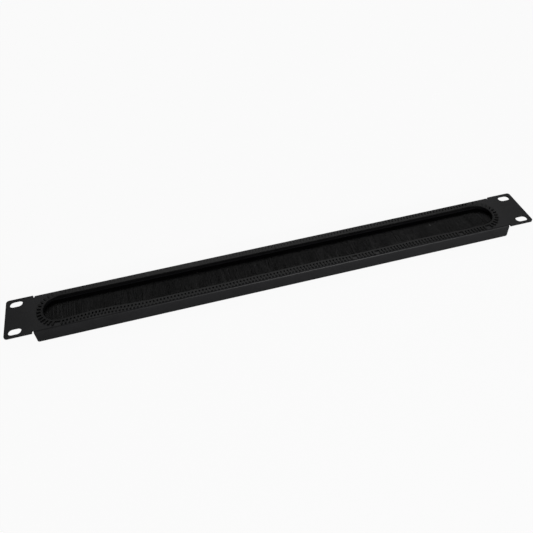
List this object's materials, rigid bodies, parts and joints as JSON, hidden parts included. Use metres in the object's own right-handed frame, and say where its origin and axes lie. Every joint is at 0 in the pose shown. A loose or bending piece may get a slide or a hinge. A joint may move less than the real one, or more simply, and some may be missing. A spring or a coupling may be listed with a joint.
{
  "type": "rack brush strip panel",
  "caption": "One-unit 19-inch rack panel of folded steel with a long round-ended cable opening, castellated edging and a brush row behind it.",
  "frame": {"origin": "centre of the panel in width and height, on the plane of the flanges' rear edges on which it lies", "axes": "+X along the panel's width, +Y up its height as mounted in a rack, +Z out of its front face"},
  "size_m": [0.4826, 0.0436, 0.0137],
  "materials": {
    "powder_coated_steel": "fine satin black powder coat",
    "edging_nylon": "moulded black nylon",
    "anodised_aluminium": "black anodised extrusion",
    "channel_steel": "blackened steel strip",
    "wire_steel": "drawn galvanised wire",
    "bristle_nylon": "black nylon filament",
    "screw_steel": "black oxide steel"
  },
  "bodies": {
    "root": {"panel": "powder_coated_steel", "edging_strip": "edging_nylon", "brush_holder": "anodised_aluminium", "brush_channel": "channel_steel", "core_wire": "wire_steel", "bristles": "bristle_nylon", "holder_screws": "screw_steel"}
  },
  "joints": []
}
